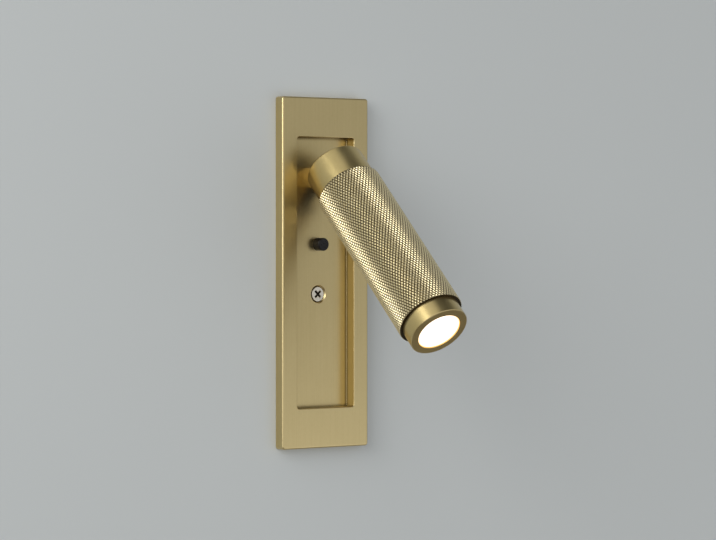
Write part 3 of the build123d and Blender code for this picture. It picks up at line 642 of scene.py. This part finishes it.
# %% Lens
lens_radius = 11.35 * mm
lens_round = 0.25 * mm
flange_radius = 12.5 * mm
bezel_length = 8.9 * mm
bezel_end = sleeve_start + sleeve_length + bezel_length
lens_front = bezel_end - 0.4 * mm
lens_seat = bezel_end - 1.15 * mm
lens_back = bezel_end - 3.0 * mm
warm_starts, warm_ends = 9.0 * mm, 11.3 * mm

lens_glow, tree, shader = new_material("lens_glow")
rim = remap(tree, distance_from_axis(tree), warm_starts, warm_ends, 0.0, 1.0)
rim = maths(tree, "POWER", rim, 2.0)
frost = use_group(tree, blasted_grain, Size=0.0003)["Speckle"]
drive(
    tree, shader,
    Emission_Color=mix_colours(tree, rim, (1.0, 0.97, 0.90, 1), (0.92, 0.50, 0.14, 1)),
    Base_Color=mix_colours(tree, frost, (0.88, 0.86, 0.80, 1), (0.93, 0.92, 0.87, 1)),
)
shader.inputs["Emission Strength"].default_value = 1.7
shader.inputs["Roughness"].default_value = 0.55

lens_profile = [(0, lens_back), (flange_radius, lens_back), (flange_radius, lens_seat)]
lens_profile += [(lens_radius, lens_seat)]
lens_profile += rounded_corner(
    (lens_radius - lens_round, lens_front - lens_round), lens_round, 0, 90
)
lens_profile += [(0, lens_front)]
finish_piece(
    "lens_disc", turned_piece(bmesh.new(), lens_profile, 96), "head", lens_glow,
    "lens", head_matrix, smooth=True,
)

# %% [markdown]
# ## Finishes for the hardware
#
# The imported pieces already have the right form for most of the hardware, so they only need
# finishes. Zinc-plated steel is a bluish grey metal with a slight cloud in its plating. Black
# plastic is nearly black, but never fully: a little light always comes off its fine texture.
# They differ in tone, gloss and grain, so one function and a table of rows make them all.

# %% Plain finishes
def plain_finish(name, tone, second_tone, roughness, metallic, grain_size, grain_height,
                 cloud_size=0.02, shine=0.5):
    """A finish with a fine grain and a slow change between two tones."""
    material, tree, shader = new_material(name)
    grain = use_group(tree, blasted_grain, Size=grain_size)
    marks = use_group(tree, handling, Size=cloud_size)
    spread = remap(tree, grain["Speckle"], 0.0, 1.0, roughness - 0.04, roughness + 0.05)
    drive(
        tree, shader, Base_Color=mix_colours(tree, marks["Cloud"], (*tone, 1), (*second_tone, 1)),
        Roughness=maths(tree, "ADD", spread, maths(tree, "MULTIPLY", marks["Smudge"], 0.05)),
    )
    shader.inputs["Metallic"].default_value = metallic
    shader.inputs["Specular IOR Level"].default_value = shine
    add_bump(tree, shader, grain["Height"], grain_height)
    return material


# Each row: name, two tones, roughness, metallic, size and height of the grain.
plain_rows = [
    ("screw_steel", (0.56, 0.55, 0.52), (0.46, 0.45, 0.43), 0.24, 1, 0.0002, 0.000004),
    ("box_zinc", (0.50, 0.52, 0.54), (0.38, 0.40, 0.42), 0.36, 1, 0.0009, 0.000006, 0.006),
    ("spring_steel", (0.45, 0.45, 0.46), (0.36, 0.36, 0.37), 0.25, 1, 0.0002, 0.000004),
    ("contact_brass", (0.72, 0.55, 0.26), (0.60, 0.44, 0.19), 0.30, 1, 0.0003, 0.000005),
    ("black_plastic", (0.010, 0.0085, 0.0085), (0.015, 0.013, 0.0125), 0.28, 0, 0.00025,
     0.000006, 0.02, 0.3),
    ("white_plastic", (0.62, 0.62, 0.60), (0.56, 0.56, 0.53), 0.42, 0, 0.0004, 0.00001),
    ("board_green", (0.02, 0.13, 0.06), (0.015, 0.10, 0.045), 0.32, 0, 0.0006, 0.00001),
    ("board_white", (0.70, 0.70, 0.69), (0.64, 0.64, 0.62), 0.35, 0, 0.0006, 0.00001),
    ("can_dark", (0.03, 0.03, 0.035), (0.045, 0.045, 0.05), 0.38, 0, 0.0005, 0.00001),
    ("grommet_rubber", (0.022, 0.022, 0.022), (0.035, 0.034, 0.033), 0.62, 0, 0.0003, 0.00002),
    ("seal_foam", (0.045, 0.045, 0.047), (0.075, 0.075, 0.078), 0.85, 0, 0.0007, 0.00008),
    ("sink_aluminium", (0.62, 0.63, 0.65), (0.54, 0.55, 0.57), 0.33, 1, 0.0004, 0.000008),
    ("reflector_silver", (0.85, 0.85, 0.86), (0.80, 0.80, 0.81), 0.10, 1, 0.0002, 0.000002),
    ("emitter_yellow", (0.80, 0.58, 0.10), (0.72, 0.50, 0.08), 0.40, 0, 0.0002, 0.000005),
]
finishes = {row[0]: plain_finish(*row) for row in plain_rows}
finishes["plate_brass"] = plate_brass
finishes["turned_brass"] = turned_brass
print("finishes:", ", ".join(finishes))

# %% [markdown]
# ## Which piece gets which finish
#
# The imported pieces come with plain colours. Each of them keeps its mesh and gets a finish in
# every material slot. The pieces that have a mesh of their own here are left out of the list.

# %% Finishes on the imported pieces
finished_pieces = {
    "plate_brass": ["front_plate", "hinge_bracket"],
    "turned_brass": ["collar", "bezel"],
    "screw_steel": [
        "bridge_nut", "hinge_bracket_screws", "switch_screws", "driver_screws", "block_screws",
        "terminal_screws", "pivot_bolt", "pivot_nut", "board_screws",
    ],
    "box_zinc": ["back_box", "box_bridge"],
    "contact_brass": [
        "switch_contacts", "contact_bridge", "terminal_inserts", "earth_screw", "hinge_yoke",
    ],
    "black_plastic": ["switch_body", "switch_back"],
    "white_plastic": ["driver_case", "driver_lid", "terminal_block", "friction_washers"],
    "board_green": ["driver_board"],
    "board_white": ["led_board"],
    "can_dark": ["driver_transformer", "driver_capacitor"],
    "grommet_rubber": ["lens_seal"],
    "sink_aluminium": ["heat_sink"],
    "reflector_silver": ["reflector"],
    "emitter_yellow": ["led_emitter"],
}
for finish, nodes in finished_pieces.items():
    for node in nodes:
        slots = frame["nodes"][node].data.materials
        for k in range(len(slots)):
            slots[k] = finishes[finish]
    print(finish, "on", ", ".join(nodes))

# %% [markdown]
# ## The cross-head screw
#
# This is the one fastener that shows, so it gets its own mesh, built ring by ring. The flat
# crown's edge rounds down into a groove, then come the cone and the shank. Below the crown the
# steel is painted dark by height: painted shade in the groove and in the cross. A screw modifier
# could wind the thread, but here each point's radius follows how far it is from the thread's
# crest at that height and angle, which also lets the thread fade at its ends. The cross narrows
# with depth, as a driver does, and `triangle_fill` closes the crown between the cross and the
# circle.

# %% Screw parts
facing_room = Matrix.Rotation(radians(90), 4, "X")


def front_and_size(node):
    """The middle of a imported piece's front, and the size of its box."""
    low, high = (Vector(corner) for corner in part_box(node))
    return Vector(((low.x + high.x) / 2, low.y, (low.z + high.z) / 2)), high - low


screw_place, screw_size = front_and_size("fixing_screw")
head_radius = screw_size.x / 2
crown_radius = head_radius - 0.4 * mm
crown_rise = 0.3 * mm
crown_round = 0.22 * mm
shank_radius = 2.0 * mm
thread_pitch = 0.7 * mm
thread_depth = 0.25 * mm
rings_per_pitch = 6
screw_segments = 72
# The cross at four depths: length, width and depth in millimetres.
cross_levels = [(5.0, 1.4, 0.0), (4.7, 1.1, 0.12), (3.6, 0.9, 0.9), (2.2, 0.7, 1.5)]


def cross_outline(length, width, height):
    """The twelve corners of a cross turned by 45 degrees, at this height."""
    a, b = length / 2, width / 2
    corners = [(a, -b), (a, b), (b, b), (b, a), (-b, a), (-b, b),
               (-a, b), (-a, -b), (-b, -b), (-b, -a), (b, -a), (b, -b)]
    turn = Matrix.Rotation(radians(45), 2)
    return [(*(turn @ Vector(corner)), height) for corner in corners]


def join_rings(mesh, first, second):
    """Faces between two rings with as many points."""
    for k in range(len(first)):
        n = (k + 1) % len(first)
        mesh.faces.new((first[k], first[n], second[n], second[k]))


def round_ring(mesh, along, radius, wave=0.0):
    """A ring of points; a wave adds the part of a helical thread that crosses this height."""
    ring = []
    for k in range(screw_segments):
        share = k / screw_segments
        phase = (share - along / thread_pitch) % 1.0
        reach = radius + wave * (1 - abs(2 * phase - 1))
        angle = 2 * pi * share
        ring.append(mesh.verts.new((reach * cos(angle), reach * sin(angle), along)))
    return ring


print("screw", round(screw_size.x / mm, 2), "mm across and", round(screw_size.y / mm, 2), "long")


# %% Cross-head screw
def screw_mesh():
    """The screw with its head's rim at z = 0, its crown above and its tip below."""
    mesh = bmesh.new()
    cone_height = head_radius - shank_radius
    thread_length = screw_size.y - cone_height
    core_radius = shank_radius - thread_depth
    crown_edge = (crown_radius - crown_round, crown_rise - crown_round)
    profile = rounded_corner(crown_edge, crown_round, 90, 0)
    profile += [(crown_radius, crown_radius - head_radius), (core_radius, -cone_height)]
    rings = [round_ring(mesh, along, radius) for radius, along in profile]
    rows = int(thread_length / thread_pitch * rings_per_pitch)
    for row in range(1, rows + 1):
        fade = min(1.0, row / rings_per_pitch, (rows - row) / rings_per_pitch)
        along = -cone_height - row * thread_length / rows
        rings.append(round_ring(mesh, along, core_radius, fade * thread_depth))
    for first, second in zip(rings, rings[1:]):
        join_rings(mesh, first, second)
    mesh.faces.new(rings[-1])
    cross = []
    for length, width, depth in cross_levels:
        outline = cross_outline(length * mm, width * mm, crown_rise - depth * mm)
        cross.append([mesh.verts.new(corner) for corner in outline])
    for first, second in zip(cross, cross[1:]):
        join_rings(mesh, first, second)
    mesh.faces.new(cross[-1])
    open_edges = [e for e in mesh.edges if e.is_boundary]
    bmesh.ops.triangle_fill(mesh, edges=open_edges, use_beauty=True)
    bmesh.ops.recalc_face_normals(mesh, faces=mesh.faces[:])
    return mesh


# Below the crown the steel turns dark and matt by height: painted shade in the groove and the
# cross.
shade_starts, shade_full = 0.14 * mm, -0.10 * mm
sunk_shade_tone = (0.05, 0.038, 0.025, 1)

cross_steel, tree, shader = new_material("cross_steel")
place = add_node(tree, "ShaderNodeTexCoord").outputs["Object"]
height = add_node(tree, "ShaderNodeSeparateXYZ", None, Vector=place).outputs["Z"]
grain = use_group(tree, blasted_grain, Size=0.0002)
marks = use_group(tree, handling, Size=0.01)
steel = mix_colours(tree, marks["Cloud"], (0.90, 0.84, 0.72, 1), (0.78, 0.72, 0.60, 1))
sunk = remap(tree, height, shade_starts, shade_full, 0.0, 1.0)
sunk = maths(tree, "MULTIPLY", sunk, remap(tree, grain["Speckle"], 0.0, 1.0, 0.86, 1.0))
drive(
    tree, shader, Base_Color=mix_colours(tree, sunk, steel, sunk_shade_tone),
    Roughness=remap(tree, sunk, 0.0, 1.0, 0.24, 0.6),
)
shader.inputs["Metallic"].default_value = 1.0
add_bump(tree, shader, grain["Height"], 0.000004)
finish_piece(
    "cross_head_screw", screw_mesh(), "wall_side", cross_steel, "fixing_screw",
    Matrix.Translation(screw_place) @ facing_room,
)

# %% [markdown]
# ## The push button
#
# The black button is moulded: its tip is slightly dished so that a finger finds it, the rim
# of the dish is rounded, and a fine groove runs round just below. Behind the floor it has a
# stop that is wider than its hole, and a stem that presses the contacts. Cylinders could be
# joined with booleans, but all of it is round, so one profile is spun round its axis. The
# button rides on the plunger, so it slides with it.

# %% Push button
button_place, button_size = front_and_size("switch_plunger")
button_radius = 3.35 * mm
button_round = 0.5 * mm
dish_depth = 0.14 * mm
stop_radius = button_size.x / 2
stop_front = 11.08 * mm
stop_thickness = 1.0 * mm
stem_radius = 1.6 * mm
stem_round = 0.3 * mm
# The groove round the button: how far in and how far down, in millimetres.
groove_points = [(0, 1.0), (0.12, 1.06), (0.12, 1.24), (0, 1.3)]

button_profile = [(0, -dish_depth), (1.3 * mm, -0.8 * dish_depth), (2.2 * mm, -0.3 * dish_depth)]
button_profile += rounded_corner(
    (button_radius - button_round, -button_round), button_round, 90, 0
)
button_profile += [(button_radius - inset * mm, -down * mm) for inset, down in groove_points]
button_profile += [
    (button_radius, -stop_front), (stop_radius, -stop_front),
    (stop_radius, -stop_front - stop_thickness), (stem_radius, -stop_front - stop_thickness),
]
button_profile += rounded_corner(
    (stem_radius - stem_round, stem_round - button_size.y), stem_round, 0, -90, steps=4
)
button_profile.append((0, -button_size.y))
finish_piece(
    "push_button", turned_piece(bmesh.new(), button_profile[::-1], 64), "plunger",
    finishes["black_plastic"], "switch_plunger",
    Matrix.Translation(button_place) @ facing_room,
)

# %% [markdown]
# ## The switch's spring
#
# The spring that pushes the button out is wound from round wire, and its end turns lie close
# together so that it stands straight. A curve with a round bevel would do as well; here a
# circle of points is carried along the helix, because the pitch changes on the way.

# %% Spring
coil_low, coil_high = (Vector(corner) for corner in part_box("switch_spring"))
wire_radius = 0.25 * mm
coil_turns = 5.5
closed_turns = 0.8
closed_pitch = 2.1 * wire_radius
steps_per_turn = 36
wire_sides = 10
coil_middle = (coil_low + coil_high) / 2
coil_radius = (coil_high.x - coil_low.x) / 2 - wire_radius
coil_length = coil_high.y - coil_low.y - 2 * wire_radius


def coil_rise(turn):
    """How far along the spring the wire has climbed after so many turns."""
    closed_rise = closed_turns * closed_pitch
    open_pitch = (coil_length - 2 * closed_rise) / (coil_turns - 2 * closed_turns)
    if turn < closed_turns:
        return turn * closed_pitch
    if turn > coil_turns - closed_turns:
        return coil_length - (coil_turns - turn) * closed_pitch
    return closed_rise + (turn - closed_turns) * open_pitch


def coil_mesh():
    """The wire as a tube, closed at both ends."""
    mesh = bmesh.new()
    rings = []
    for step in range(int(coil_turns * steps_per_turn) + 1):
        turn = step / steps_per_turn
        outwards = Vector((cos(2 * pi * turn), 0, sin(2 * pi * turn)))
        start = Vector((coil_middle.x, coil_low.y + wire_radius, coil_middle.z))
        middle = start + outwards * coil_radius + Vector((0, coil_rise(turn), 0))
        ring = []
        for k in range(wire_sides):
            angle = 2 * pi * k / wire_sides
            offset = outwards * cos(angle) + Vector((0, sin(angle), 0))
            ring.append(mesh.verts.new(middle + offset * wire_radius))
        rings.append(ring)
    for first, second in zip(rings, rings[1:]):
        join_rings(mesh, first, second)
    mesh.faces.new(rings[0])
    mesh.faces.new(rings[-1])
    bmesh.ops.recalc_face_normals(mesh, faces=mesh.faces[:])
    return mesh


wound_spring = finish_piece(
    "wound_spring", coil_mesh(), "wall_side", finishes["spring_steel"],
    "switch_spring", smooth=True,
)
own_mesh(wound_spring)

# %% [markdown]
# ## The grommet and the foam seal
#
# Two soft pieces hide at the back. The rubber grommet keeps the cable off the edge of its
# hole: it is a ring with a groove for the sheet and rounded lips, so its profile is closed
# before it is spun. The foam strip lies between the box's flange and the plate and evens out a
# rough wall. A bevelled curve would give it an even skin, but cut foam is never quite flat, so
# a rounded section is carried round a rounded rectangle and a little noise pulls it inwards.

# %% Rubber grommet
grommet_place, grommet_size = front_and_size("cable_grommet")
grommet_place.y += grommet_size.y / 2
lip_radius = grommet_size.x / 2
lip_height = grommet_size.y / 2
lip_round, lip_inset = 1.0 * mm, 0.3 * mm
bore, bore_round = 4.0 * mm, 0.8 * mm
seat, half_sheet = 7.0 * mm, 0.6 * mm
upper_half = [(seat, half_sheet), (lip_radius - lip_inset, half_sheet)]
upper_half += rounded_corner((lip_radius - lip_round, lip_height - lip_round), lip_round, 0, 90)
upper_half += rounded_corner((bore + bore_round, lip_height - bore_round), bore_round, 90, 180)
lower_half = [(radius, -along) for radius, along in reversed(upper_half)]
finish_piece(
    "rubber_grommet", turned_piece(bmesh.new(), upper_half + lower_half, 72, closed=True),
    "wall_side", finishes["grommet_rubber"], "cable_grommet",
    Matrix.Translation(grommet_place) @ facing_room, smooth=True,
)

# %% Foam seal
seal_place, seal_size = front_and_size("wall_seal")
seal_place.y += seal_size.y / 2
seal_rail = 1.5 * mm
seal_corner = 2.2 * mm
seal_round = 0.3 * mm
seal_step = 2.5 * mm
corner_steps = 6
skin_pull = 0.04 * mm
bumps_per_metre = 900


def seal_path():
    """Places round the seal's outer edge, each with the direction that points inwards."""
    half_width, half_height = seal_size.x / 2 - seal_corner, seal_size.z / 2 - seal_corner
    places = []
    for quarter, (sx, sz) in enumerate(((1, 1), (-1, 1), (-1, -1), (1, -1))):
        centre = Vector((sx * half_width, sz * half_height))
        for k in range(corner_steps + 1):
            angle = radians(90 * quarter + 90 / corner_steps * k)
            outwards = Vector((cos(angle), sin(angle)))
            places.append((centre + seal_corner * outwards, -outwards))
        run = 2 * (half_width if quarter % 2 == 0 else half_height)
        onwards = Vector((-outwards.y, outwards.x))
        steps = int(run / seal_step)
        corner = places[-1][0]
        for k in range(1, steps):
            places.append((corner + onwards * (run * k / steps), -outwards))
    return places


def seal_mesh():
    """The foam strip as a tube of rounded section."""
    mesh = bmesh.new()
    section = []
    across, deep = seal_rail / 2 - seal_round, seal_size.y / 2 - seal_round
    for start, (sx, sy) in zip((0, 90, 180, 270), ((1, 1), (-1, 1), (-1, -1), (1, -1))):
        section += rounded_corner((sx * across, sy * deep), seal_round, start, start + 90, steps=2)
    rings = []
    for spot, inwards in seal_path():
        middle = spot + inwards * seal_rail / 2
        ring = []
        for offset, depth in section:
            flat = spot + inwards * (seal_rail / 2 + offset)
            point = Vector((flat.x, depth, flat.y))
            outwards = (point - Vector((middle.x, 0, middle.y))).normalized()
            pull = skin_pull * (noise.noise(point * bumps_per_metre) - 1)
            ring.append(mesh.verts.new(point + outwards * pull))
        rings.append(ring)
    for k, ring in enumerate(rings):
        join_rings(mesh, ring, rings[(k + 1) % len(rings)])
    bmesh.ops.recalc_face_normals(mesh, faces=mesh.faces[:])
    return mesh


finish_piece(
    "foam_seal", seal_mesh(), "wall_side", finishes["seal_foam"], "wall_seal",
    Matrix.Translation(seal_place), smooth=True,
)

# %% [markdown]
# ## The wall and the floor
#
# The wall is a thin sheet with a hole where the box goes in. A boolean could cut the hole, but
# four strips round it need no modifier. The hole is only a little smaller than the plate that
# hides it, so that a lamp behind the wall also reaches the plate's back. From behind, camera
# rays pass through the sheet and show the box: the paint is see-through where the ray comes
# from the camera and meets the back of the face. The floor lies well below.

# %% Paint
def stage_paint(name, tone, second_tone):
    """A pale matt paint that camera rays pass through from behind."""
    material, tree, shader = new_material(name)
    marks = use_group(tree, handling, Size=0.5)
    grain = use_group(tree, blasted_grain, Size=0.0012)
    drive(tree, shader, Base_Color=mix_colours(tree, marks["Cloud"], tone, second_tone))
    shader.inputs["Roughness"].default_value = 0.8
    shader.inputs["Specular IOR Level"].default_value = 0.2
    add_bump(tree, shader, grain["Height"], 0.00002)
    behind = add_node(tree, "ShaderNodeNewGeometry").outputs["Backfacing"]
    seen = add_node(tree, "ShaderNodeLightPath").outputs["Is Camera Ray"]
    clear = add_node(tree, "ShaderNodeBsdfTransparent")
    either = add_node(
        tree, "ShaderNodeMixShader", None, i0=maths(tree, "MULTIPLY", behind, seen),
        i1=shader.outputs[0], i2=clear.outputs[0],
    )
    tree.links.new(either.outputs[0], tree.nodes["Material Output"].inputs["Surface"])
    return material


wall_paint = stage_paint("wall_paint", (0.655, 0.682, 0.677, 1), (0.64, 0.667, 0.662, 1))
floor_paint = stage_paint("floor_paint", (0.60, 0.54, 0.45, 1), (0.57, 0.51, 0.42, 1))
print("paints:", wall_paint.name, floor_paint.name)

# %% Wall and floor
wall_size, hole_size = (2.6, 2.2), (0.053, 0.178)
wall_behind_plate = 0.1 * mm
floor_height = -2.6
floor_reach = 1.5

wall_mesh = bmesh.new()
frames = []
for width, height in (wall_size, hole_size):
    corners = [(-width, -height), (width, -height), (width, height), (-width, height)]
    frames.append([wall_mesh.verts.new((x / 2, wall_behind_plate, z / 2)) for x, z in corners])
join_rings(wall_mesh, *frames)
wall = new_object("wall", wall_mesh, wall_paint)

floor_mesh = bmesh.new()
bmesh.ops.create_grid(floor_mesh, x_segments=4, y_segments=4, size=floor_reach)
floor = new_object("floor", floor_mesh, floor_paint)
floor.location = (0, 0, floor_height)
print("wall faces the room:", wall.data.polygons[0].normal.y < 0)

# %% [markdown]
# ## Lights
#
# A large soft box hangs to the upper left, close to the wall, and gives the shadow that falls
# to the right of the head. A smaller one, farther from the wall, makes the bright band along the
# knurl. A weak one below opens the dark underside, and one stands behind the wall for the box.

# %% Lamps
def soft_box(name, place, aim, width, height, power):
    """An area lamp that faces a point."""
    lamp = bpy.data.lights.new(name, "AREA")
    lamp.shape = "RECTANGLE"
    lamp.size, lamp.size_y = width, height
    lamp.energy = power
    holder = bpy.data.objects.new(name, lamp)
    holder.location = place
    holder.rotation_mode = "QUATERNION"
    holder.rotation_quaternion = (Vector(aim) - Vector(place)).to_track_quat("-Z", "Y")
    bpy.context.scene.collection.objects.link(holder)


soft_box("key", (-1.45, -0.20, 0.60), (0, 0, 0), 0.8, 1.3, 12.5)
soft_box("window", (-1.25, -0.66, 0.50), (0, 0, 0), 0.6, 0.9, 4.5)
soft_box("low", (0.62, -0.85, -0.50), (0, 0, -0.05), 0.9, 0.7, 1.0)
soft_box("behind", (0.6, 1.3, 0.6), (0, 0.03, 0), 0.8, 0.8, 16)

# %% [markdown]
# ## The room round the lamp
#
# Metal shows what it mirrors more than what shines on it. A photographed room could be wrapped
# round the lamp, but a few soft patches are enough. `towards` says how nearly a direction
# points at a patch, and each patch is mixed over the grey of the room: a dim ceiling, a warm
# dark floor side, a dark right side, and brighter parts in front of the lamp and above it.
# Where the camera looks past the wall, it sees one even grey.

# %% Room
room_grey = (0.48, 0.49, 0.50, 1)
backdrop_grey = (0.53, 0.555, 0.55, 1)

world = bpy.data.worlds.new("room")
bpy.context.scene.world = world
world.use_nodes = True
sky = world.node_tree
background = sky.nodes["Background"]
direction = add_node(sky, "ShaderNodeTexCoord").outputs["Generated"]
parts = add_node(sky, "ShaderNodeSeparateXYZ", None, Vector=direction).outputs


def towards(x, y, z):
    """How nearly a direction of the room agrees with this one, as a cosine."""
    aim = tuple(Vector((x, y, z)).normalized())
    node = add_node(
        sky, "ShaderNodeVectorMath", {"operation": "DOT_PRODUCT"}, i0=direction, i1=aim
    )
    return node.outputs["Value"]


# Each patch: name, measure, where it starts and where it is full, and its light.
patches = [
    ("ceiling", parts["Z"], 0.38, 0.75, (0.06, 0.063, 0.066, 1)),
    ("floor side", parts["Z"], -0.25, -0.65, (0.10, 0.07, 0.04, 1)),
    ("right side", parts["X"], 0.55, 0.90, (0.07, 0.073, 0.076, 1)),
    ("opposite", towards(0.61, -0.79, -0.12), 0.55, 0.95, (0.49, 0.50, 0.51, 1)),
    ("behind the camera", towards(-0.45, -0.85, 0.25), 0.50, 0.95, (0.72, 0.73, 0.74, 1)),
    ("front overhead", towards(0.0, -0.78, 0.62), 0.85, 0.97, (0.44, 0.45, 0.46, 1)),
    ("left overhead", towards(-0.42, -0.12, 0.90), 0.88, 0.98, (0.70, 0.71, 0.72, 1)),
]
room_light = room_grey
for label, measure, low, high, light in patches:
    room_light = mix_colours(sky, remap(sky, measure, low, high, 0.0, 1.0), room_light, light)
    print("patch of room light:", label)
seen = add_node(sky, "ShaderNodeLightPath").outputs["Is Camera Ray"]
drive(sky, background, Color=mix_colours(sky, seen, room_light, backdrop_grey))
background.inputs["Strength"].default_value = 1.0
bpy.context.scene.view_settings.view_transform = "Standard"
